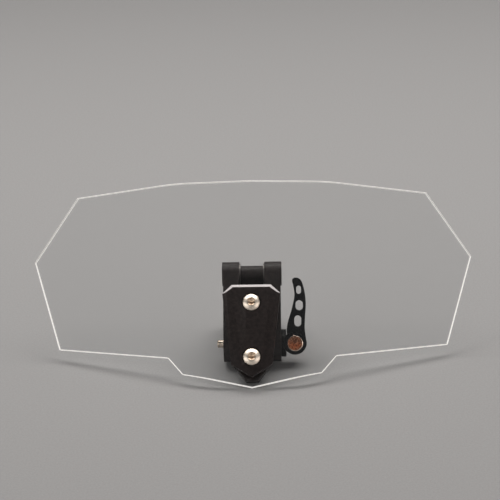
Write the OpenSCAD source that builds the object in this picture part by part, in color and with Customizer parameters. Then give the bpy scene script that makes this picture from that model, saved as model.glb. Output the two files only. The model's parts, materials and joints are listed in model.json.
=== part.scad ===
// Clip-on windshield extension: a bent clear screen on a two-hinge aluminium bracket.
// The clamp's jaw opens downwards over the edge of a windshield. The origin is the centre
// of the fixed pad's face. +X is along the screen's width, +Y points to the rider.

/* [Pose] */
// Lean of the screen's flat middle panel from upright, in degrees
screen_lean = 40; // [36:0.5:42]
// Lean of the arm from upright, in degrees
arm_lean = 35; // [34:0.5:35]
// Lean of the quick-release lever from upright, in degrees
lever_lean = 22; // [22:1:30]

/* [Screen sheet] */
// Thickness of the clear sheet
sheet_t = 3; // [2:0.5:4]
// Height of the flat cut at the middle
sheet_h = 131.5; // [120:0.5:140]
// Angle that each wing is bent back, in degrees
wing_angle = 19.5; // [10:0.5:30]
// Radius of the front face along each bend
bend_r = 54; // [30:1:70]
// Distance from the middle to the start of the bend, at the sheet's lowest point
bend_x = 19.7; // [18:0.1:24]
// Slant of each bend line from upright, in degrees
bend_slant = 8; // [5:0.5:10]

/* [Screen holder] */
// Thickness of the front plate
plate_t = 5; // [4:0.5:6]
// Thickness of the front rubber gasket
front_gasket_t = 1; // [0.5:0.1:1.5]
// Thickness of the rear rubber gasket
rear_gasket_t = 1.2; // [0.8:0.1:1.5]
// Thickness of the holder's base
base_t = 5; // [4.5:0.1:5.5]
// Height of the lower plate screw above the sheet's lowest point
low_screw_v = 17.6; // [17:0.1:18]
// Spacing of the two plate screws
screw_pitch = 34; // [32:0.5:34]
// Thread diameter of the plate screws
plate_screw_d = 6; // [5:1:6]

/* [Arm] */
// Distance between the arm's two hinge axes
arm_len = 43.5; // [43:0.5:46]
// Radius of the arm's lower eyes
eye_r = 11.3; // [11:0.1:11.5]
// Radius of the arm's upper knuckles
knuckle_r = 7.5; // [7:0.1:8]
// Width of the arm
arm_w = 35.2; // [34:0.2:36]
// Width across the upper knuckles
knuckle_w = 36.6; // [36.6:0.2:37]
// Width of the gap in each fork
fork_gap = 15.5; // [15.5:0.1:15.6]

/* [Clamp] */
// Width of the jaw
jaw_w = 32; // [28:1:34]
// Depth of the jaw from its mouth to the bridge
jaw_depth = 24; // [22:1:26]
// Height of the upper hinge axis above the pad's centre
hinge_z = 36.5; // [36:0.5:40]
// Radius of the clamp's hinge barrel
barrel_r = 5; // [4.5:0.1:5.5]
// Opening between the pads at rest
jaw_gap = 7; // [3:0.5:9]
// Thread diameter of the pivot bolt, the clamp screws and the quick-release rod
thread_d = 5; // [5:0.5:5]

/* [Quick release] */
// Distance from the middle to the cam barrel's axis
cam_x = 26; // [26:0.1:27]
// Radius of the cam barrel
cam_barrel_r = 5; // [4.5:0.1:5]
// Radius of the cam
cam_r = 6.7; // [6.6:0.05:6.8]
// Offset of the cam's centre from the barrel's axis
cam_lift = 0.4; // [0.3:0.05:0.5]

/* [Hidden] */

fn_big = 96;
fn_small = 48;
over = 1;                        // how far a cutter runs past what it cuts
fit = 0.05;                      // radial clearance of a running fit
slack = 0.3;                     // gap between parts that only pass each other
bolt_r = thread_d / 2;
bore_r = bolt_r + fit;

// Clamp
leg_t = 5;
rear_leg_t = 6.5;
pad_t = 1.5;
press_t = 3;
travel_open = 3.2;               // how far the pressure plate can still move back from rest
leg_chamfer = 2;
inner_chamfer = 1;
pad_w = jaw_w - 4;
pad_h = jaw_depth - 2;
press_h = pad_h - 1;
press_y = jaw_gap + pad_t;       // front face of the pressure plate
press_back = press_y + press_t;
rear_leg_y = press_back + travel_open + slack;
rear_face_y = rear_leg_y + rear_leg_t;
bridge_t = 5;
bridge_z = jaw_depth / 2;
bridge_top = bridge_z + bridge_t;
front_face_y = -pad_t - leg_t;
hinge_y = front_face_y;
barrel_half = fork_gap / 2 - 0.75;
screw_x = 9;
screw_z = -1;
screw_head_gap = 7;              // left under each clamp screw's head at rest
screw_head_y = rear_face_y + screw_head_gap;
cap_head_r = 4.25;
cap_head_h = 5;
hex_key = 4;
spigot_r = 1.95;
spigot_l = 1.5;

// Arm
top_r = knuckle_r - 0.2;          // the knuckles stand this little proud of the arm's top
taper = asin((eye_r - top_r) / arm_len);
web_top = -14;                   // along the arm, from the upper hinge axis
web_low = -arm_len + 10.5;
washer_t = fork_gap / 2 - barrel_half - 2 * fit;
head_pocket = cap_head_h + 0.2;
nut_af = 8;
nut_t = 4.9;
nut_pocket = nut_t + slack;

// Screen holder, in the sheet's own frame: x, distance behind its front face, height
base_y = sheet_t + rear_gasket_t;
base_back = base_y + base_t;
plate_y = -front_gasket_t - plate_t;
arm_gap = 1.1;                   // between the holder's base and the folded arm
qr_d = base_back + arm_gap + eye_r;
qr_v = 32.5;
lug_r = 9;
high_screw_v = low_screw_v + screw_pitch;
plate_screw_r = plate_screw_d / 2;
button_r = 5.2;
button_h = 3.3;
button_rim = 1.2;                // straight part of the head under its dome
counterbore_r = 5.7;
counterbore_h = 1.6;
plate_screw_l = 12;
bright_w = 1.8;                  // width and fall of the bright bevel round the plate's top
bright_drop = 1.2;
side_w = 2.4;                    // width and fall of the side bevels
side_drop = 0.7;
facet_w = 3.8;                   // width and fall of the shallow facets inside them
facet_drop = 0.35;
low_w = 1.5;                     // width and fall of the bevels at the plate's point
low_drop = 0.8;

// Quick release
rod_end_l = 4.1;                 // rod left showing past the arm's left eye
barrel_l = 11.2;
cam_w = 11;
handle_t = 7;                    // the handle thins towards its tip
handle_tip_t = 5;
hub_r = 7.05;
cup_r = 8.4;
cup_t = 3;
seat_gap = 0.15;
slot_half = bolt_r + slack;

function polar(r, a) = [r * cos(a), r * sin(a)];

// The point where a line from p touches the circle round c, on the side given
function touch(c, r, p, side) =
    let (v = p - c, a = acos(r / norm(v)))
    c + polar(r, atan2(v.y, v.x) + side * a);

// A smooth closed curve through the points
function curve(p, steps) = [
    for (i = [0 : len(p) - 1], k = [0 : steps - 1])
        let (n = len(p), t = k / steps, a = p[(i + n - 1) % n], b = p[i],
             c = p[(i + 1) % n], d = p[(i + 2) % n])
        0.5 * (2 * b + (c - a) * t + (2 * a - 5 * b + 4 * c - d) * t * t
               + (3 * b - a - 3 * c + d) * t * t * t)];

// ---- Frames ----

module at_hinge() { translate([0, hinge_y, hinge_z]) children(); }

module in_arm_frame() { at_hinge() rotate([-arm_lean, 0, 0]) children(); }

module at_qr_axis() {
    at_hinge()
        translate([0, -arm_len * sin(arm_lean), -arm_len * cos(arm_lean)])
            children();
}

module in_sheet_frame() {
    at_qr_axis() rotate([-screen_lean, 0, 0]) translate([0, -qr_d, -qr_v]) children();
}

module in_lever_frame() {
    at_qr_axis() translate([cam_x, 0, 0]) rotate([-lever_lean, 0, 0]) children();
}

// ---- Shared shapes ----

// A cylinder along X between two places
module rod_x(r, x0, x1, fn = fn_small) {
    translate([x0, 0, 0]) rotate([0, 90, 0]) cylinder(r = r, h = x1 - x0, $fn = fn);
}

// A cylinder along Y between two places
module rod_y(r, y0, y1, fn = fn_small) {
    translate([0, y0, 0]) rotate([-90, 0, 0]) cylinder(r = r, h = y1 - y0, $fn = fn);
}

// A side outline, given as [y, z] points, with the width w along X
module slab_x(w) {
    translate([-w / 2, 0, 0]) rotate([90, 0, 90]) linear_extrude(w) children();
}

// A front outline, given as [x, z] points, from y0 to y1
module slab_y(y0, y1) {
    translate([0, y1, 0]) rotate([90, 0, 0]) linear_extrude(y1 - y0) children();
}

module mirrored_x() {
    children();
    mirror([1, 0, 0]) children();
}

module ring_pair(r) {
    mirrored_x()
        difference() {
            rod_x(r, barrel_half + fit, barrel_half + fit + washer_t, fn_big);
            rod_x(bore_r, 0, fork_gap);
        }
}

module at_plate_screws() {
    for (v = [low_screw_v, high_screw_v])
        translate([0, 0, v]) children();
}

// ---- Clamp ----

module jaw_outline() {
    c = leg_chamfer;
    k = inner_chamfer;
    polygon([
        [front_face_y, -bridge_z], [front_face_y, bridge_top - c],
        [front_face_y + c, bridge_top], [rear_face_y - c, bridge_top],
        [rear_face_y, bridge_top - c], [rear_face_y, -bridge_z + c],
        [rear_face_y - c, -bridge_z], [rear_leg_y + k, -bridge_z],
        [rear_leg_y, -bridge_z + k], [rear_leg_y, bridge_z - k],
        [rear_leg_y - k, bridge_z], [-pad_t + k, bridge_z],
        [-pad_t, bridge_z - k], [-pad_t, -bridge_z]]);
}

// The neck runs from the barrel down to the bridge
module neck_outline() {
    axis = [hinge_y, hinge_z];
    front_foot = [hinge_y + 1, bridge_top];
    rear_foot = [hinge_y + 13, bridge_top];
    polygon([
        front_foot - [0, over], front_foot, touch(axis, barrel_r, front_foot, -1), axis,
        touch(axis, barrel_r, rear_foot, 1), rear_foot, rear_foot - [0, over]]);
}

module clamp_body() {
    shoulder_h = 6;
    color("#1b1b1d") difference() {
        union() {
            slab_x(jaw_w) jaw_outline();
            slab_x(2 * barrel_half) neck_outline();
            slab_y(hinge_y + 4, hinge_y + 13)
                polygon([
                    [-jaw_w / 2, bridge_top - over], [-jaw_w / 2, bridge_top],
                    [-barrel_half, bridge_top + shoulder_h],
                    [barrel_half, bridge_top + shoulder_h],
                    [jaw_w / 2, bridge_top], [jaw_w / 2, bridge_top - over]]);
            at_hinge() rod_x(barrel_r, -barrel_half, barrel_half, fn_big);
        }
        at_hinge() rod_x(bore_r, -jaw_w, jaw_w);
        for (side = [-1, 1])
            translate([side * screw_x, 0, screw_z])
                rod_y(bore_r, rear_leg_y - over, rear_face_y + over);
    }
}

module fixed_pad() {
    color("#2a2a2a")
        translate([-pad_w / 2, -pad_t, -pad_h / 2]) cube([pad_w, pad_t, pad_h]);
}

module pressure_plate() {
    color("#303033") difference() {
        translate([-pad_w / 2, press_y, -press_h / 2]) cube([pad_w, press_t, press_h]);
        for (side = [-1, 1])
            translate([side * screw_x, 0, screw_z])
                rod_y(spigot_r + fit, press_back - spigot_l - 0.1, press_back + over);
    }
}

module moving_pad() {
    color("#2a2a2a")
        translate([-pad_w / 2, jaw_gap, -press_h / 2]) cube([pad_w, pad_t, press_h]);
}

module clamp_screw(side) {
    shank_y = press_back + fit;
    color("#c9c9cc") translate([side * screw_x, 0, screw_z]) difference() {
        union() {
            rod_y(spigot_r, press_back - spigot_l, shank_y + fit);
            rod_y(bolt_r, shank_y, screw_head_y + fit);
            rod_y(cap_head_r, screw_head_y, screw_head_y + cap_head_h);
        }
        rod_y(hex_key / sqrt(3), screw_head_y + cap_head_h / 2,
              screw_head_y + cap_head_h + over, 6);
    }
}

module clamp_screw_left() { clamp_screw(-1); }

module clamp_screw_right() { clamp_screw(1); }

// ---- Arm ----

// Points along an arc round the origin
function arc(r, from, to, steps) = [
    for (k = [0 : steps]) polar(r, from + (to - from) * k / steps)];

// An arc at each end and the flats between them
module arm_side() {
    polygon(concat(
        arc(top_r, taper, 180 - taper, 30),
        [for (p = arc(eye_r, 180 - taper, 360 + taper, 48)) p - [0, arm_len]]));
}

module link_arm() {
    color("#1b1b1d") in_arm_frame() difference() {
        union() {
            slab_x(arm_w) arm_side();
            rod_x(knuckle_r, -knuckle_w / 2, knuckle_w / 2, fn_big);
        }
        translate([-fork_gap / 2, -eye_r - over, web_top])
            cube([fork_gap, 2 * (eye_r + over), knuckle_r - web_top + over]);
        translate([-fork_gap / 2, -eye_r - over, -arm_len - eye_r - over])
            cube([fork_gap, 2 * (eye_r + over), web_low + arm_len + eye_r + over]);
        rod_x(bore_r, -knuckle_w, knuckle_w);
        translate([0, 0, -arm_len]) rod_x(bore_r, -arm_w, arm_w);
        rod_x(cap_head_r + slack, knuckle_w / 2 - head_pocket, knuckle_w);
        rod_x((nut_af / 2 + 0.1) * 2 / sqrt(3), -knuckle_w, -knuckle_w / 2 + nut_pocket, 6);
    }
}

module pivot_bolt() {
    head_x = knuckle_w / 2 - head_pocket;
    color("#2c2c2e") in_arm_frame() difference() {
        union() {
            rod_x(bolt_r, -knuckle_w / 2 + 0.6, head_x + fit);
            rod_x(cap_head_r, head_x, head_x + cap_head_h);
        }
        rod_x(hex_key / sqrt(3), head_x + cap_head_h / 2, knuckle_w, 6);
    }
}

module pivot_nut() {
    nut_x = -knuckle_w / 2 + nut_pocket - nut_t;
    color("#b9b9bc") in_arm_frame() difference() {
        rod_x(nut_af / sqrt(3), nut_x, nut_x + nut_t, 6);
        rod_x(bore_r, -knuckle_w, 0);
    }
}

module pivot_washers() { color("#c8c8c8") in_arm_frame() ring_pair(knuckle_r - 1); }

module tilt_washers() { color("#c8c8c8") at_qr_axis() ring_pair(lug_r - 0.5); }

// ---- Quick release ----

module qr_rod() {
    color("#d8d4c8") at_qr_axis()
        rod_x(bolt_r, -arm_w / 2 - rod_end_l, cam_x + cam_barrel_r - 1);
}

module cup_washer() {
    color("#161616") difference() {
        at_qr_axis()
            rod_x(cup_r, arm_w / 2 + fit, arm_w / 2 + fit + cup_t, fn_big);
        at_qr_axis() rod_x(bore_r, 0, 2 * cam_x);
        in_lever_frame() translate([-cam_lift, 0, 0])
            rod_y(cam_r + seat_gap, -2 * cup_r, 2 * cup_r, fn_big);
    }
}

module cam_barrel() {
    color("#a8643c") difference() {
        in_lever_frame() rod_y(cam_barrel_r, -barrel_l / 2, barrel_l / 2, fn_big);
        at_qr_axis() rod_x(bore_r, 0, 2 * cam_x);
    }
}

// Outline of the handle, which curves round the arm and ends in a blunt tip
handle_points = [
    [6.4, -1], [6.7, 2], [6.3, 5.8], [6, 10.2], [6.4, 17], [6.9, 23.4], [6.6, 29.4],
    [5.5, 35], [4.2, 38.4], [2.2, 39.9], [0, 39.9], [-1.2, 38.6], [-0.6, 35.5],
    [0.1, 31], [-0.2, 27], [-1.9, 20], [-3.8, 14.1], [-4.7, 10.2], [-4.8, 6], [-2, 2],
    [3, -3]];

// Centre, width and length of each finger hole
handle_holes = [[[1.9, 13.5], 4.2, 6.9], [[2.9, 23.1], 4.4, 6.2], [[2.7, 32.6], 2.9, 5.1]];

module long_hole(w, l) {
    for (end = [-1, 1])
        translate([0, end * (l - w) / 2]) circle(d = w, $fn = fn_small);
    square([w, l - w], center = true);
}

module handle_side() {
    low = handle_t / 2;
    high = handle_tip_t / 2;
    polygon([[-low, -10], [low, -10], [low, hub_r], [high, 45], [-high, 45], [-low, hub_r]]);
}

module cam_lever() {
    color("#101011") in_lever_frame() difference() {
        union() {
            translate([-cam_lift, 0, 0]) rod_y(cam_r, -cam_w / 2, cam_w / 2, fn_big);
            rod_y(hub_r, -handle_t / 2, handle_t / 2, fn_big);
            intersection() {
                slab_y(-handle_t, handle_t) polygon(curve(handle_points, 4));
                slab_x(40) handle_side();
            }
        }
        rod_y(cam_barrel_r + fit, -cam_w, cam_w, fn_big);
        for (hole = handle_holes)
            slab_y(-handle_t, handle_t) translate(hole[0]) long_hole(hole[1], hole[2]);
        slab_y(-slot_half, slot_half)
            polygon([[-12, -12], [slot_half, -12], [slot_half, slot_half], [-12, slot_half]]);
    }
}

// ---- Screen holder ----

plate_tip_v = 5.7;
plate_low = [12.3, 13];
plate_wide = [17.6, 57.4];
plate_top = [11.9, 62.8];

function both_sides(right) =
    concat(right, [for (i = [len(right) - 1 : -1 : 0]) [-right[i].x, right[i].y]]);

// Half outlines run from the lowest point up the right-hand side
function plate_half(inset) = [
    [0, plate_tip_v + 1.2 * inset], plate_low + inset * [-1, 0.4],
    plate_wide - inset * [1, 0.4], plate_top - inset * [0.4, 1]];

// A cutter for a bevel along the plate's edge from p to q, with the outside on its left.
// It starts inside the edge, behind the front face, and falls away at an angle.
module bevel_cutter(p, q, inset, angle, depth = 0) {
    a = atan2(q.y - p.y, q.x - p.x);
    start = p + inset * [sin(a), -cos(a)];
    translate([start.x, plate_y + depth, start.y])
        rotate([0, -a, 0]) rotate([-angle, 0, 0])
            translate([-60, -10, -over]) cube([120, 10, 12]);
}

module plate_bevels() {
    bright = atan2(bright_drop, bright_w);
    bevel_cutter([0, plate_top.y], plate_top, bright_w, bright);
    mirrored_x() {
        bevel_cutter(plate_top, plate_wide, bright_w, bright);
        bevel_cutter(plate_wide, plate_low, side_w + facet_w, atan2(facet_drop, facet_w));
        bevel_cutter(plate_wide, plate_low, side_w, atan2(side_drop, side_w), facet_drop);
        bevel_cutter(plate_low, [0, plate_tip_v], low_w, atan2(low_drop, low_w));
    }
}

module front_plate() {
    color("#1e1e1f") in_sheet_frame() difference() {
        slab_y(plate_y, -front_gasket_t) polygon(both_sides(plate_half(0)));
        plate_bevels();
        at_plate_screws() {
            rod_y(plate_screw_r + 0.2, plate_y - over, 0);
            rod_y(counterbore_r, plate_y - over, plate_y + counterbore_h, fn_big);
        }
    }
}

module gasket(y0, y1) {
    color("#222222") in_sheet_frame() difference() {
        slab_y(y0, y1) polygon(both_sides(plate_half(0.8)));
        at_plate_screws() rod_y(plate_screw_r + 0.3, y0 - over, y1 + over);
    }
}

module front_gasket() { gasket(-front_gasket_t, 0); }

module rear_gasket() { gasket(sheet_t, base_y); }

// The base follows the front plate and ends in a blunt nose below it
module holder_outline() {
    polygon(both_sides([
        [3.6, 4.5], [11.8, 15.5], plate_wide - [0.4, 0.2], plate_top - [0.2, 0.8]]));
}

module screen_holder() {
    color("#1b1b1d") in_sheet_frame() difference() {
        union() {
            slab_y(base_y, base_back) holder_outline();
            translate([0, qr_d, qr_v]) rod_x(lug_r, -barrel_half, barrel_half, fn_big);
            translate([-barrel_half, base_back - over, qr_v - lug_r])
                cube([2 * barrel_half, qr_d - base_back + over, 2 * lug_r]);
        }
        translate([0, qr_d, qr_v]) rod_x(bore_r, -arm_w, arm_w);
        at_plate_screws() rod_y(plate_screw_r, base_y - over, base_back + over);
    }
}

module plate_screws() {
    head_y = plate_y + counterbore_h;
    dome_h = button_h - button_rim;
    dome_r = (button_r * button_r + dome_h * dome_h) / (2 * dome_h);
    color("#d0cdc8") in_sheet_frame() at_plate_screws() difference() {
        union() {
            rod_y(plate_screw_r - fit, head_y - fit, head_y + plate_screw_l);
            intersection() {
                translate([0, head_y - button_h + dome_r, 0]) sphere(dome_r, $fn = fn_big);
                rod_y(button_r, head_y - button_h, head_y, fn_big);
            }
        }
        rod_y(hex_key / sqrt(3), head_y - button_h - over, head_y - button_h / 3, 6);
    }
}

// ---- Screen sheet ----

bend_len = bend_r * wing_angle * PI / 180;

// Distance outwards of the start of the bend, and along it, of a point on the flat cut
function across(p) = (p.x - bend_x) * cos(bend_slant) - p.y * sin(bend_slant);
function along(p) = (p.x - bend_x) * sin(bend_slant) + p.y * cos(bend_slant);

// Where the bent sheet takes a distance across the bend, as seen square to the middle panel
function folded(s) =
    s <= 0 ? s
    : s < bend_len ? bend_r * sin(s / bend_r * 180 / PI)
    : bend_r * sin(wing_angle) + (s - bend_len) * cos(wing_angle);

function bent(p) =
    let (s = folded(across(p)), a = along(p))
    [bend_x + s * cos(bend_slant) + a * sin(bend_slant),
     a * cos(bend_slant) - s * sin(bend_slant)];

// The points where the straight edge from p to q crosses the bend
function crossings(p, q, steps) = [
    for (k = steps)
        p + (q - p) * (bend_len * k / 4 - across(p)) / (across(q) - across(p))];

tip = [0, 0];
notch_in = [43, 9.5];
notch_out = [52.5, 20.5];
low_corner = [125.5, 32];
side_corner = [143, 89.5];
top_corner = [113.5, 128.5];
crown = [0, sheet_h];

flat_half = concat(
    [tip], crossings(tip, notch_in, [0 : 4]),
    [notch_in, notch_out, low_corner, side_corner, top_corner],
    crossings(crown, top_corner, [4 : -1 : 0]), [crown]);

// The bend and the wing beyond it, long enough to be cut to any outline
module bent_strip() {
    strip_h = 200;
    wing_l = 160;
    lap = 6;
    steps = 12;
    back_r = bend_r - sheet_t;
    front = concat([[-lap, -bend_r]], arc(bend_r, -90, wing_angle - 90, steps),
                   [polar(bend_r, wing_angle - 90) + polar(wing_l, wing_angle)]);
    back = concat([polar(back_r, wing_angle - 90) + polar(wing_l, wing_angle)],
                  arc(back_r, wing_angle - 90, -90, steps), [[-lap, -back_r]]);
    translate([bend_x, 0, 0]) rotate([0, bend_slant, 0]) translate([0, 0, -strip_h / 5])
        linear_extrude(strip_h) translate([0, bend_r])
            polygon(concat(front, back));
}

module screen() {
    slant = tan(bend_slant);
    seam_x = bend_x - 3;         // the middle panel ends inside the strips' lap
    color("#dfe8ea", 0.35) in_sheet_frame() difference() {
        intersection() {
            union() {
                slab_y(0, sheet_t)
                    polygon(both_sides([
                        [seam_x - 10 * slant, -10],
                        [seam_x + (sheet_h + 10) * slant, sheet_h + 10]]));
                mirrored_x() bent_strip();
            }
            slab_y(-over, 80) polygon(both_sides([for (p = flat_half) bent(p)]));
        }
        at_plate_screws() rod_y(plate_screw_r + 0.5, -over, sheet_t + over);
    }
}

clamp_body();
fixed_pad();
pressure_plate();
moving_pad();
clamp_screw_left();
clamp_screw_right();
link_arm();
pivot_bolt();
pivot_nut();
pivot_washers();
tilt_washers();
qr_rod();
cup_washer();
cam_barrel();
cam_lever();
screen_holder();
rear_gasket();
screen();
front_gasket();
front_plate();
plate_screws();
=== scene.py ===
import json
import math

import bmesh
import bpy
from mathutils import Matrix, Vector

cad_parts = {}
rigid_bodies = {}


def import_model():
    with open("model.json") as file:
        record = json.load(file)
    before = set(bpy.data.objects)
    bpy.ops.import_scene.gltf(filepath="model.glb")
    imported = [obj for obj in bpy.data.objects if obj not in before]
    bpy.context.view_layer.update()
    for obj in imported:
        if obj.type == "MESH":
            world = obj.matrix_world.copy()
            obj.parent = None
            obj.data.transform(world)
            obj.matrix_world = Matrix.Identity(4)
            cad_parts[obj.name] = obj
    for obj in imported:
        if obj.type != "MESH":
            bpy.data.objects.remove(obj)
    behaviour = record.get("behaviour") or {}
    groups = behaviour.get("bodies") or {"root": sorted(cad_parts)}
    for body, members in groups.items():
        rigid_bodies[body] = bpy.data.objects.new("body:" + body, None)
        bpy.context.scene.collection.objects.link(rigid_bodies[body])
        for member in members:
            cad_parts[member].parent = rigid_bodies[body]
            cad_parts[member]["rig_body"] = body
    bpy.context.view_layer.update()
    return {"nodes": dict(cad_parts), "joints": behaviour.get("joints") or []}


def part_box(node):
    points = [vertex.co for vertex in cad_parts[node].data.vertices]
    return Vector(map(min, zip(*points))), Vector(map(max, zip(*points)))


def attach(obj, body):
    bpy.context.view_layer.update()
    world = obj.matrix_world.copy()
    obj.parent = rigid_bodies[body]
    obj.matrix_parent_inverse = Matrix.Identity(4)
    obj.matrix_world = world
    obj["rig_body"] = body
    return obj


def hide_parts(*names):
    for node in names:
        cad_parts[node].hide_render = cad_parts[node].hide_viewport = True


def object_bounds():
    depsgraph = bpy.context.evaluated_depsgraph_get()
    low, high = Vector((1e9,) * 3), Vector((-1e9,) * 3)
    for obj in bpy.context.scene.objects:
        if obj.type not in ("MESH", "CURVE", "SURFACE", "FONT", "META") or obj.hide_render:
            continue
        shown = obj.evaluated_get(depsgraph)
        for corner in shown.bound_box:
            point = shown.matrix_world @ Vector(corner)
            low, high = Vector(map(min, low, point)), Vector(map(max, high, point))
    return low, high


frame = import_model()
nodes = frame["nodes"]
joints = {j["name"]: j for j in frame["joints"]}
MM = 0.001

# ---- Places, from the frame ----

SCREEN_LEAN = 40          # degrees from upright
ARM_LEAN = 35
LEVER_LEAN = 22
QR_BEHIND = 21.6 * MM     # the lower hinge axis, behind the sheet's front face
QR_HEIGHT = 32.5 * MM     # and above the sheet's lowest point


def pivot(joint):
    return Vector(joints[joint]["pos_m"])


def leaning(place, degrees):
    return Matrix.Translation(place) @ Matrix.Rotation(math.radians(-degrees), 4, "X")


arm_frame = leaning(pivot("arm_tilt"), ARM_LEAN)
lever_frame = leaning(pivot("lever_cam"), LEVER_LEAN)
rod_frame = Matrix.Translation(pivot("lever_clocking"))
sheet_frame = leaning(pivot("screen_tilt"), SCREEN_LEAN) @ Matrix.Translation(
    (0, -QR_BEHIND, -QR_HEIGHT))
ALONG_X = Matrix.Rotation(math.radians(90), 4, "Y")     # takes local Z to +X
ALONG_Y = Matrix.Rotation(math.radians(-90), 4, "X")    # takes local Z to +Y
TOWARDS_FRONT = Matrix.Rotation(math.radians(90), 4, "X")   # takes local Z to -Y


# ---- Camera ----

CAMERA_ELEVATION, CAMERA_AZIMUTH, CAMERA_ROLL = (math.radians(v) for v in (23, 1.55, -1.5))
CAMERA_DISTANCE = 1.2
AIM_RIGHT, AIM_UP = 0.86 * MM, 82.45 * MM    # from the sheet's lowest point, in the picture


def make_camera():
    elevation, azimuth, roll = CAMERA_ELEVATION, CAMERA_AZIMUTH, CAMERA_ROLL
    aim = sheet_frame @ Vector((0, 0, 0))
    turn = Matrix.Rotation(azimuth, 3, "Z")
    forward = turn @ Vector((0, math.cos(elevation), -math.sin(elevation)))
    up = turn @ Vector((0, math.sin(elevation), math.cos(elevation)))
    right = forward.cross(up)
    aim += AIM_RIGHT * right + AIM_UP * up
    cam = bpy.data.objects.new("camera", bpy.data.cameras.new("camera"))
    bpy.context.scene.collection.objects.link(cam)
    cam.data.sensor_width = 36
    cam.data.lens = 144
    cam.data.clip_start, cam.data.clip_end = 0.05, 20
    cam.location = aim - CAMERA_DISTANCE * forward
    x_axis = math.cos(roll) * right + math.sin(roll) * up
    y_axis = -math.sin(roll) * right + math.cos(roll) * up
    cam.rotation_euler = Matrix((x_axis, y_axis, -forward)).transposed().to_euler()
    bpy.context.scene.camera = cam


make_camera()


# ---- Materials ----

class Nodes:
    """A material's node tree with short ways to add to it."""

    def __init__(self, name):
        self.mat = bpy.data.materials.new(name)
        self.mat.use_nodes = True
        self.tree = self.mat.node_tree
        self.shader = self.tree.nodes["Principled BSDF"]
        self.out = self.tree.nodes["Material Output"]
        self.coords = self.add("ShaderNodeTexCoord").outputs["Object"]

    def add(self, kind, **settings):
        n = self.tree.nodes.new(kind)
        for key, value in settings.items():
            setattr(n, key, value)
        return n

    def link(self, a, b):
        self.tree.links.new(a, b)

    def set(self, **values):
        for key, value in values.items():
            self.shader.inputs[key.replace("_", " ")].default_value = value

    def stretched(self, scale):
        m = self.add("ShaderNodeMapping")
        m.inputs["Scale"].default_value = scale
        self.link(self.coords, m.inputs["Vector"])
        return m.outputs["Vector"]

    def noise(self, scale, detail=3.0, rough=0.5, coords=None):
        n = self.add("ShaderNodeTexNoise")
        n.inputs["Scale"].default_value = scale
        n.inputs["Detail"].default_value = detail
        n.inputs["Roughness"].default_value = rough
        self.link(coords or self.coords, n.inputs["Vector"])
        return n.outputs["Fac"]

    def remap(self, value, low, high, start=0.3, end=0.7):
        r = self.add("ShaderNodeMapRange")
        for key, v in zip(("From Min", "From Max", "To Min", "To Max"), (start, end, low, high)):
            r.inputs[key].default_value = v
        self.link(value, r.inputs["Value"])
        return r.outputs["Result"]

    def ramp(self, value, stops):
        r = self.add("ShaderNodeValToRGB")
        ramp = r.color_ramp
        while len(ramp.elements) < len(stops):
            ramp.elements.new(0.5)
        for element, (at, colour) in zip(ramp.elements, stops):
            element.position = at
            element.color = (*colour, 1)
        self.link(value, r.inputs["Fac"])
        return r.outputs["Color"]

    def bump(self, value, strength, depth):
        b = self.add("ShaderNodeBump")
        b.inputs["Strength"].default_value = strength
        b.inputs["Distance"].default_value = depth
        self.link(value, b.inputs["Height"])
        self.link(b.outputs["Normal"], self.shader.inputs["Normal"])

    def colour(self, socket):
        self.link(socket, self.shader.inputs["Base Color"])

    def rough(self, socket):
        self.link(socket, self.shader.inputs["Roughness"])


def scaled(rgb, k):
    """A colour made darker or lighter."""
    return tuple(c * k for c in rgb)


def anodised(name, tone, rough):
    """Black anodised aluminium: a fine blasted grain under a satin skin."""
    n = Nodes(name)
    n.set(Metallic=0.0, Specular_IOR_Level=0.32)
    mottle = n.noise(450, 5, 0.7)
    n.colour(n.ramp(mottle, [(0.36, scaled(tone, 0.6)), (0.64, scaled(tone, 1.5))]))
    fine = n.noise(2600, 2)
    n.rough(n.remap(fine, rough - 0.05, rough + 0.07))
    n.bump(fine, 0.4, 0.00005)
    return n.mat


def metal(name, dark, light, rough, scratch=(1, 1, 1), scale=900, bump=0.15):
    """Bare metal with fine marks; scratch stretches them along an axis."""
    n = Nodes(name)
    n.set(Metallic=1.0)
    marks = n.noise(scale, 4, 0.6, n.stretched(scratch))
    n.colour(n.ramp(marks, [(0.3, dark), (0.7, light)]))
    n.rough(n.remap(marks, rough - 0.05, rough + 0.09))
    n.bump(marks, bump, 0.00002)
    return n.mat


def gloss_black():
    """The lever's paint: a thin clear coat over black."""
    n = Nodes("gloss_black")
    n.set(Coat_Weight=0.12, Coat_Roughness=0.15, Specular_IOR_Level=0.2)
    n.colour(n.ramp(n.noise(90, 3), [(0.3, (0.006, 0.006, 0.007)), (0.7, (0.012, 0.012, 0.013))]))
    fine = n.noise(1500, 3)
    n.rough(n.remap(fine, 0.2, 0.32))
    n.bump(fine, 0.06, 0.00003)
    return n.mat


def soft_black(name, tone, rough, scale, depth):
    """Rubber and plastic: matt, with a moulded grain."""
    n = Nodes(name)
    n.set(Specular_IOR_Level=0.18)
    n.colour(n.ramp(n.noise(120, 3), [(0.3, scaled(tone, 0.8)), (0.7, scaled(tone, 1.3))]))
    grain = n.noise(scale, 3)
    n.rough(n.remap(grain, rough - 0.06, rough + 0.06))
    n.bump(grain, 0.5, depth)
    return n.mat


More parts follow.
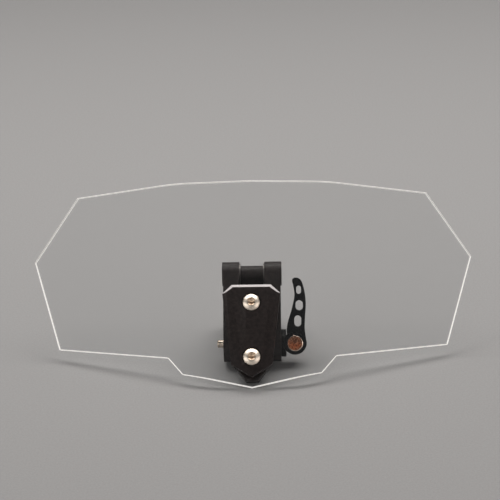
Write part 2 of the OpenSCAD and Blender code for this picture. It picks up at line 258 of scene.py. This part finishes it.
def copper():
    """The turned face of the cam barrel, mottled by handling."""
    n = Nodes("copper")
    n.set(Metallic=1.0)
    mottle = n.noise(900, 5, 0.75)
    worn = n.ramp(mottle, [(0.38, (0.12, 0.055, 0.035)), (0.48, (0.36, 0.15, 0.085)),
                           (0.56, (0.58, 0.27, 0.16)), (0.66, (0.95, 0.6, 0.42))])
    fresh = n.ramp(mottle, [(0.36, (0.42, 0.1, 0.04)), (0.64, (0.95, 0.34, 0.16))])
    mix = n.add("ShaderNodeMix", data_type="RGBA")
    n.link(n.remap(n.noise(150, 2), 0.0, 1.0, 0.42, 0.58), mix.inputs[0])
    n.link(worn, mix.inputs[6])
    n.link(fresh, mix.inputs[7])
    n.colour(mix.outputs[2])
    n.rough(n.remap(mottle, 0.22, 0.4))
    n.bump(n.noise(1800, 3, 0.5, n.stretched((1, 1, 6))), 0.25, 0.00003)
    return n.mat


def lets_lamps_through(n, tint):
    """Glass that light shines straight through, so that it casts hardly any shadow."""
    path = n.add("ShaderNodeLightPath")
    clear = n.add("ShaderNodeBsdfTransparent")
    clear.inputs["Color"].default_value = (*tint, 1)
    shader = n.shader.outputs["BSDF"]
    for ray in ("Is Diffuse Ray", "Is Shadow Ray"):
        mix = n.add("ShaderNodeMixShader")
        n.link(path.outputs[ray], mix.inputs["Fac"])
        n.link(shader, mix.inputs[1])
        n.link(clear.outputs["BSDF"], mix.inputs[2])
        shader = mix.outputs["Shader"]
    n.link(shader, n.out.inputs["Surface"])


def acrylic():
    """The clear sheet, with faint smears that soften what it mirrors."""
    n = Nodes("acrylic")
    n.set(Transmission_Weight=1.0, IOR=1.49, Base_Color=(0.985, 0.99, 0.99, 1))
    n.rough(n.remap(n.noise(35, 4), 0.0, 0.012, 0.45, 0.75))
    lets_lamps_through(n, (0.97, 0.975, 0.975))
    return n.mat


def cut_edge(name, tone, painted_glow):
    """The sheet's cut edge, frosted white, with a painted glow: it emits light of its own,
    standing in for light that the sheet gathers and pipes to its edge.

    tone is how much lamplight it gives back, and the last number how strong the painted glow is."""
    n = Nodes(name)
    streaks = n.noise(700, 3, 0.5, n.stretched((1, 1, 0.25)))
    dull, bright = (0.92, 0.89, 0.85), (1.0, 0.98, 0.95)
    n.colour(n.ramp(streaks, [(0.3, scaled(dull, tone)), (0.7, scaled(bright, tone))]))
    # Painted glow: the edge emits light in its own streaky colours, though it is no lamp.
    n.link(n.ramp(streaks, [(0.3, dull), (0.7, bright)]), n.shader.inputs["Emission Color"])
    n.set(Emission_Strength=painted_glow)
    n.rough(n.remap(streaks, 0.25, 0.5))
    n.bump(streaks, 0.2, 0.00003)
    return n.mat


def floor_material():
    n = Nodes("floor")
    n.colour(n.ramp(n.noise(900, 2), [(0.3, (0.34, 0.34, 0.345)), (0.7, (0.38, 0.38, 0.385))]))
    n.rough(n.remap(n.noise(400, 2), 0.85, 0.95))
    return n.mat


BLACK = (0.0178, 0.0131, 0.0126)
black = anodised("anodised_black", BLACK, 0.45)
black_edge = anodised("anodised_edge", (0.03, 0.027, 0.026), 0.36)
bright_cut = metal("bright_cut", (0.22, 0.21, 0.215), (0.36, 0.345, 0.35), 0.4, (1, 6, 6))
stainless = metal("stainless", (0.92, 0.8, 0.67), (1.0, 0.92, 0.81), 0.38, scale=1400)
washer_steel = metal("washer_steel", (0.16, 0.15, 0.14), (0.3, 0.28, 0.27), 0.4)
# Painted shade: a darker, browner steel for the insides of the plate screws' sockets, standing in
# for the shade in the hollow.
socket_painted_shade = metal("socket_painted_shade", (0.54, 0.41, 0.3), (0.76, 0.61, 0.47), 0.3, scale=1400)
zinc = metal("zinc", (0.72, 0.6, 0.48), (0.95, 0.86, 0.74), 0.14, (1, 4, 4), bump=0.08)
black_steel = metal("black_steel", (0.02, 0.02, 0.021), (0.05, 0.05, 0.052), 0.35)
lever_black = gloss_black()
rubber = soft_black("rubber", (0.02, 0.02, 0.021), 0.75, 1600, 0.00006)
plastic = soft_black("black_plastic", (0.006, 0.0055, 0.0055), 0.5, 1100, 0.00003)
nylon = soft_black("nylon", (0.5, 0.5, 0.47), 0.5, 700, 0.00002)
barrel_copper = copper()
copper_rim = metal("copper_rim", (0.85, 0.6, 0.45), (1.0, 0.88, 0.76), 0.2)
clear = acrylic()
# Cut edges with a painted glow. The crown's edge gets a weaker painted glow than the sides, a
# painted shade that keeps the top edge dimmer.
sawn_edge_painted_glow = cut_edge("sawn_edge_painted_glow", 0.45, 0.62)
crown_edge_painted_glow = cut_edge("crown_edge_painted_glow", 0.5, 0.22)


# ---- Making pieces ----

def add_piece(name, mesh, body, materials, *replaced):
    """A visible piece on its body, in place of the CAD nodes named last."""
    piece = bpy.data.objects.new(name, mesh)
    bpy.context.scene.collection.objects.link(piece)
    for m in materials:
        mesh.materials.append(m)
    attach(piece, body)
    if replaced:
        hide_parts(*replaced)
    return piece


SHARP = math.radians(30)     # edges that turn more than this stay crisp


def smooth(mesh, sharp=SHARP):
    for polygon in mesh.polygons:
        polygon.use_smooth = True
    mesh.set_sharp_from_angle(angle=sharp)


def machined(node, materials, bevel, segments=3, paint=None, edge_slot=-1, only=None):
    """A detailed piece in the shape of a CAD node, with its edges broken.

    paint gives faces their material slots, and edge_slot is the slot of the broken edges.
    only picks the edges to break where short edges elsewhere would hold the bevel back."""
    source = nodes[node]
    bm = bmesh.new()
    bm.from_mesh(source.data)
    bmesh.ops.remove_doubles(bm, verts=bm.verts, dist=2e-6)
    bmesh.ops.dissolve_limit(bm, angle_limit=math.radians(0.5), verts=bm.verts, edges=bm.edges)
    if only:
        weight = bm.edges.layers.float.new("bevel_weight_edge")
        for edge in bm.edges:
            edge[weight] = float(only(edge))
    mesh = bpy.data.meshes.new(node + "_fine")
    bm.to_mesh(mesh)
    bm.free()
    piece = add_piece(node + "_fine", mesh, source["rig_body"], materials, node)
    for polygon in mesh.polygons:
        polygon.material_index = 0
    if paint:
        paint(mesh)
    m = piece.modifiers.new("broken_edges", "BEVEL")
    m.width = bevel
    m.segments = segments
    m.limit_method = "WEIGHT" if only else "ANGLE"
    m.angle_limit = SHARP
    m.harden_normals = True
    m.material = edge_slot
    m.miter_outer = "MITER_ARC"
    smooth(mesh)


# ---- Machined, moulded and pressed parts ----

BARREL_HALF = 5.6 * MM


def paint_bright_bevels(mesh):
    """The three bevels round the plate's top are cut bright after anodising."""
    to_local = sheet_frame.to_3x3().inverted()
    for polygon in mesh.polygons:
        normal = to_local @ polygon.normal
        if -0.9 < normal.y < -0.75 and normal.z > 0.2:
            polygon.material_index = 2


def at_barrel_ends(edge):
    """True for the edges round the barrel's two ends, not for those along it."""
    to_local = lever_frame.inverted()
    a, b = ((to_local @ vert.co).y for vert in edge.verts)
    return a * b > 0 and min(abs(a), abs(b)) > BARREL_HALF - 0.1 * MM


machined("front_plate", [black, black_edge, bright_cut], 0.22 * MM, paint=paint_bright_bevels)
machined("link_arm", [black, black_edge], 0.5 * MM, edge_slot=1)
machined("clamp_body", [black, black_edge], 0.5 * MM, edge_slot=1)
machined("screen_holder", [black, black_edge], 0.4 * MM, edge_slot=1)
machined("pressure_plate", [black, black_edge], 0.4 * MM, edge_slot=1)
machined("cam_lever", [lever_black], 0.7 * MM, segments=4)
machined("cup_washer", [plastic], 0.4 * MM)
machined("fixed_pad", [rubber], 0.3 * MM)
machined("moving_pad", [rubber], 0.3 * MM)
machined("front_gasket", [rubber], 0.2 * MM)
machined("rear_gasket", [rubber], 0.2 * MM)
machined("pivot_washers", [washer_steel], 0.08 * MM)
machined("tilt_washers", [washer_steel], 0.08 * MM)
machined("cam_barrel", [barrel_copper, copper_rim], 0.7 * MM, 4, edge_slot=1, only=at_barrel_ends)


# ---- Turned and threaded parts ----

SIDES = 48
KNURLED_SIDES = 96
KNURL_DEPTH = 0.12 * MM
ROUND, HEX, KNURL = "round", "hex", "knurl"


def hexagon(r, angle):
    """Distance to a hexagon with the inscribed radius r."""
    turn = math.radians(60)
    return r / math.cos((angle + turn / 2) % turn - turn / 2)


def ring_radius(radius, style, k, sides):
    """How far a ring's point k is from the axis."""
    if style == HEX:
        return hexagon(radius, 2 * math.pi * k / sides)
    if style == KNURL and k % 2:
        return radius - KNURL_DEPTH
    return radius


def turned(rings, place, sides=SIDES, painted=()):
    """A closed mesh through rings given as (radius, height, style).

    painted holds bands of faces as (first ring, last ring, material slot)."""
    bm = bmesh.new()
    loops = []
    for radius, height, style in rings:
        loop = []
        for k in range(sides):
            a = 2 * math.pi * k / sides
            r = ring_radius(radius, style, k, sides)
            loop.append(bm.verts.new((r * math.cos(a), r * math.sin(a), height)))
        loops.append(loop)
    for i, (low, high) in enumerate(zip(loops, loops[1:])):
        slot = max([band[2] for band in painted if band[0] <= i < band[1]], default=0)
        for k in range(sides):
            j = (k + 1) % sides
            bm.faces.new((low[k], low[j], high[j], high[k])).material_index = slot
    bm.faces.new(list(reversed(loops[0])))
    bm.faces.new(loops[-1])
    bmesh.ops.recalc_face_normals(bm, faces=bm.faces)
    bm.transform(place)
    mesh = bpy.data.meshes.new("turned")
    bm.to_mesh(mesh)
    bm.free()
    smooth(mesh)
    return mesh


def thread_rings(radius, pitch, start, end):
    """Rings that rise and fall like a fine thread, from start to end."""
    depth = 0.17 * pitch
    turns = round((end - start) / pitch)
    step = (end - start) / turns
    rings = []
    for k in range(turns):
        base = start + k * step
        rings += [(radius - depth, base + 0.1 * step, ROUND),
                  (radius, base + 0.35 * step, ROUND),
                  (radius, base + 0.7 * step, ROUND),
                  (radius - depth, base + 0.95 * step, ROUND)]
    return rings


def joined(name, meshes):
    """One mesh from several."""
    bm = bmesh.new()
    for mesh in meshes:
        bm.from_mesh(mesh)
    whole = bpy.data.meshes.new(name)
    bm.to_mesh(whole)
    bm.free()
    return whole


def dome(radius, low, high, steps, top_radius):
    """Rings of a dome from its rim up to where top_radius cuts it."""
    rise = high - low
    sphere = (radius ** 2 + rise ** 2) / (2 * rise)
    rings = []
    for k in range(steps + 1):
        r = radius + (top_radius - radius) * k / steps
        rings.append((r, math.sqrt(sphere ** 2 - r ** 2) - sphere + high, ROUND))
    return rings


def plate_screw_mesh(height):
    """An M6 button-head screw whose seat is at the counterbore's floor."""
    seat, key = -4.4 * MM, 2 * MM
    shank, head = 2.95 * MM, 5.2 * MM
    rim, top = 1.2 * MM, 3.3 * MM
    rings = [(2.5 * MM, -12 * MM, ROUND), (shank, -11.5 * MM, ROUND)]
    rings += thread_rings(shank, 1 * MM, -11.4 * MM, -1.4 * MM)
    rings += [(shank, 0, ROUND), (head - 0.2 * MM, 0, ROUND), (head, 0.2 * MM, ROUND)]
    rings += dome(head, rim, top, 8, 2.7 * MM)
    lip = rings[-1][1]
    socket = len(rings)
    rings += [(2.4 * MM, lip + 0.04 * MM, ROUND), (key, lip - 0.15 * MM, HEX),
              (key, lip - 1.1 * MM, HEX), (0.4 * MM, lip - 2.1 * MM, ROUND),
              (0.25 * MM, lip - 2.7 * MM, ROUND)]
    place = sheet_frame @ Matrix.Translation((0, seat, height)) @ TOWARDS_FRONT
    # The socket's mouth, hex walls and drill cone take the darker steel, a painted shade for the
    # hollow.
    return turned(rings, place, painted=[(socket, socket + 4, 1)])


LOW_SCREW, HIGH_SCREW = 17.6 * MM, 51.6 * MM
add_piece("plate_screws_fine", joined("plate_screws_fine", [
    plate_screw_mesh(LOW_SCREW), plate_screw_mesh(HIGH_SCREW)]), "shield",
    [stainless, socket_painted_shade], "plate_screws")


def cap_screw_rings(radius, tip, head_low, head_radius, head_high, key, pitch):
    """A socket-head screw with a bevelled head, from its tip to its head."""
    socket = 2.5 * MM
    return ([(radius - 0.5 * MM, tip, ROUND), (radius, tip + 0.5 * MM, ROUND)]
            + thread_rings(radius, pitch, tip + 0.6 * MM, head_low - 1.0 * MM)
            + [(radius, head_low, ROUND), (head_radius - 0.3 * MM, head_low, ROUND),
               (head_radius, head_low + 0.3 * MM, ROUND),
               (head_radius, head_low + 0.5 * MM, KNURL),
               (head_radius, head_high - 0.8 * MM, KNURL),
               (head_radius, head_high - 0.6 * MM, ROUND),
               (head_radius - 0.5 * MM, head_high, ROUND),
               (key + 0.5 * MM, head_high, ROUND), (key, head_high - 0.3 * MM, HEX),
               (key, head_high - socket, HEX), (0.4 * MM, head_high - socket - 0.5 * MM, ROUND)])


BOLT_R, KEY = 2.5 * MM, 2 * MM
CAP_R, CAP_HEIGHT = 4.25 * MM, 5 * MM
PITCH = 0.8 * MM
for side in ("left", "right"):
    node = "clamp_screw_" + side
    low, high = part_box(node)
    spigot_r, spigot_end = 1.95 * MM, low.y + 1.55 * MM
    rings = [(spigot_r - 0.2 * MM, low.y, ROUND), (spigot_r, low.y + 0.2 * MM, ROUND),
             (spigot_r, spigot_end, ROUND)]
    rings += cap_screw_rings(BOLT_R, spigot_end, high.y - CAP_HEIGHT, CAP_R, high.y, KEY, PITCH)
    centre = (low + high) / 2
    place = Matrix.Translation((centre.x, 0, centre.z)) @ ALONG_Y
    add_piece(node + "_fine", turned(rings, place, KNURLED_SIDES), side + "_screw",
              [stainless], node)

low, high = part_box("pivot_bolt")
add_piece("pivot_bolt_fine", turned(
    cap_screw_rings(BOLT_R, low.x, high.x - CAP_HEIGHT, CAP_R, high.x, KEY, PITCH),
    arm_frame @ ALONG_X, KNURLED_SIDES), "arm", [black_steel], "pivot_bolt")

low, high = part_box("pivot_nut")
nut = 4 * MM     # half of what a spanner fits
add_piece("pivot_nut_fine", turned(
    [(2.6 * MM, low.x + 0.6 * MM, ROUND), (3.1 * MM, low.x + 0.3 * MM, ROUND),
     (3.4 * MM, low.x, ROUND), (3.8 * MM, low.x + 0.4 * MM, ROUND),
     (nut, low.x + 1.2 * MM, ROUND), (nut, low.x + 1.6 * MM, HEX),
     (nut, high.x - 0.3 * MM, HEX), (nut - 0.3 * MM, high.x, ROUND),
     (2.6 * MM, high.x, ROUND)],
    arm_frame @ ALONG_X, painted=[(0, 2, 1)]), "arm", [zinc, nylon], "pivot_nut")

low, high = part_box("qr_rod")
thread_end = -8 * MM
add_piece("qr_rod_fine", turned(
    [(1.9 * MM, low.x, ROUND), (BOLT_R, low.x + 0.6 * MM, ROUND)]
    + thread_rings(BOLT_R, PITCH, low.x + 0.7 * MM, thread_end)
    + [(BOLT_R, thread_end + 0.3 * MM, ROUND), (BOLT_R, high.x - 0.4 * MM, ROUND),
       (2.1 * MM, high.x, ROUND)],
    rod_frame @ ALONG_X), "quick_release", [zinc], "qr_rod")


# ---- The clear sheet ----

SHEET = 3 * MM
CROWN = 131.5 * MM
OUTLINE = [(0, 0), (43, 9.5), (52.5, 20.5), (125.5, 32), (143, 89.5), (113.5, 128.5)]
BEND_R = 54 * MM
BEND_ANGLE = math.radians(19.5)
BEND_SLANT = math.radians(8)
BEND_X = 19.7 * MM
BEND_LENGTH = BEND_R * BEND_ANGLE
BEND_CUTS = 16
EDGE_BREAK = 0.35 * MM
HOLE_R, HOLE_SIDES = 3.5 * MM, 40


def across_and_along(x, v):
    """A point's places across and along the right bend, from where the bend starts."""
    s, c = math.sin(BEND_SLANT), math.cos(BEND_SLANT)
    return (x - BEND_X) * c - v * s, (x - BEND_X) * s + v * c


def bent(x, v, depth):
    """Where a point of the flat cut, depth behind its front face, is on the bent sheet."""
    side = 1 if x >= 0 else -1
    out, along = across_and_along(abs(x), v)
    angle = min(max(out / BEND_R, 0), BEND_ANGLE)
    rest = max(out - BEND_LENGTH, 0)
    r = BEND_R - depth
    if out > 0:
        step = r * math.sin(angle) + rest * math.cos(angle)
        back = BEND_R - r * math.cos(angle) + rest * math.sin(angle)
    else:
        step, back = out, depth
    s, c = math.sin(BEND_SLANT), math.cos(BEND_SLANT)
    return Vector((side * (BEND_X + step * c + along * s), back, along * c - step * s))


def outline_curve(name, loops, thickness, bevel):
    """A flat plate with its edges broken, from closed loops of points."""
    curve = bpy.data.curves.new(name, "CURVE")
    curve.dimensions = "2D"
    curve.fill_mode = "BOTH"
    curve.extrude = thickness / 2 - bevel
    curve.bevel_depth = bevel
    curve.bevel_resolution = 1
    curve.offset = -bevel
    for loop in loops:
        spline = curve.splines.new("POLY")
        spline.points.add(len(loop) - 1)
        for point, (x, y) in zip(spline.points, loop):
            point.co = (x, y, 0, 1)
        spline.use_cyclic_u = True
    holder = bpy.data.objects.new(name, curve)
    bpy.context.scene.collection.objects.link(holder)
    mesh = bpy.data.meshes.new_from_object(
        holder.evaluated_get(bpy.context.evaluated_depsgraph_get()))
    bpy.data.objects.remove(holder)
    return mesh


def hole(height):
    turns = [2 * math.pi * k / HOLE_SIDES for k in range(HOLE_SIDES)]
    return [(HOLE_R * math.cos(a), height + HOLE_R * math.sin(a)) for a in turns]


def make_screen():
    """The sheet: cut flat, scored along its two bends, then bent."""
    right = [(x * MM, y * MM) for x, y in OUTLINE] + [(0, CROWN)]
    left = [(-x, y) for x, y in reversed(right[1:-1])]
    holes = [hole(height) for height in (LOW_SCREW, HIGH_SCREW)]
    mesh = outline_curve("sheet", [right + left] + holes, SHEET, EDGE_BREAK)
    bm = bmesh.new()
    bm.from_mesh(mesh)
    bmesh.ops.remove_doubles(bm, verts=bm.verts, dist=1e-6)
    s, c = math.sin(BEND_SLANT), math.cos(BEND_SLANT)
    for side in (-1, 1):
        for k in range(BEND_CUTS + 1):
            out = BEND_LENGTH * k / BEND_CUTS
            normal = Vector((side * c, -s, 0))
            at = Vector((side * (BEND_X + out * c), -out * s, 0))
            bmesh.ops.bisect_plane(bm, geom=bm.verts[:] + bm.edges[:] + bm.faces[:],
                                   plane_co=at, plane_no=normal, dist=1e-7)
    for face in bm.faces:
        # The crown's cut edge takes the material with the weaker painted glow, a painted shade
        # for the top edge; the other cut edges take the stronger painted glow.
        crown = face.normal.y > 0.6
        face.material_index = 0 if abs(face.normal.z) > 0.99 else 2 if crown else 1
    for vert in bm.verts:
        x, v, z = vert.co
        vert.co = bent(x, v, SHEET / 2 - z)
    bmesh.ops.recalc_face_normals(bm, faces=bm.faces)
    bm.transform(sheet_frame)
    bm.to_mesh(mesh)
    bm.free()
    smooth(mesh, math.radians(12))
    add_piece("clear_screen", mesh, "shield", [clear, sawn_edge_painted_glow, crown_edge_painted_glow], "screen")


make_screen()


# ---- Floor and light ----

FLOOR_HALF = 1.65


def make_floor():
    """A plain floor that ends under the side panels, where the room takes over."""
    low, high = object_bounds()
    bm = bmesh.new()
    bmesh.ops.create_grid(bm, x_segments=4, y_segments=4, size=FLOOR_HALF)
    mesh = bpy.data.meshes.new("floor")
    bm.to_mesh(mesh)
    bm.free()
    floor = bpy.data.objects.new("floor", mesh)
    floor.location = (0, 0, low.z)
    mesh.materials.append(floor_material())
    bpy.context.scene.collection.objects.link(floor)


def add_lamp(name, place, aim, size, power, colour):
    lamp = bpy.data.lights.new(name, "AREA")
    lamp.shape = "RECTANGLE"
    lamp.size, lamp.size_y = size
    lamp.energy = power
    lamp.color = colour
    holder = bpy.data.objects.new(name, lamp)
    holder.location = place
    holder.rotation_euler = (Vector(aim) - Vector(place)).to_track_quat("-Z", "Y").to_euler()
    bpy.context.scene.collection.objects.link(holder)


BAND_TOP = 0.35     # the sine of the height at which the band has faded out


def make_world(overhead, horizon):
    """A grey room: dim overhead, with a pale band round and below the horizon."""
    world = bpy.data.worlds.new("studio")
    world.use_nodes = True
    tree = world.node_tree
    coords = tree.nodes.new("ShaderNodeTexCoord")
    parts = tree.nodes.new("ShaderNodeSeparateXYZ")
    level = tree.nodes.new("ShaderNodeMapRange")
    level.inputs["From Min"].default_value = 0.0
    level.inputs["From Max"].default_value = BAND_TOP
    level.inputs["To Min"].default_value = horizon
    level.inputs["To Max"].default_value = overhead
    background = tree.nodes["Background"]
    background.inputs["Color"].default_value = (0.95, 0.95, 0.95, 1)
    tree.links.new(coords.outputs["Generated"], parts.inputs["Vector"])
    tree.links.new(parts.outputs["Z"], level.inputs["Value"])
    tree.links.new(level.outputs["Result"], background.inputs["Strength"])
    bpy.context.scene.world = world


make_floor()
make_world(0.11, 0.33)
WARM, WARMER = (1.0, 0.96, 0.92), (1.0, 0.9, 0.84)
add_lamp("top_softbox", (0.0, 0.4, 1.15), (0, 0, 0.03), (2.1, 0.9), 19.5, WARM)
add_lamp("left_panel", (-1.7, -1.1, 0.42), (0, 0, 0.05), (2.2, 0.8), 9, WARM)
add_lamp("right_panel", (1.7, -1.1, 0.42), (0, 0, 0.05), (2.2, 0.8), 8, WARMER)
bpy.context.scene.view_settings.view_transform = "Standard"
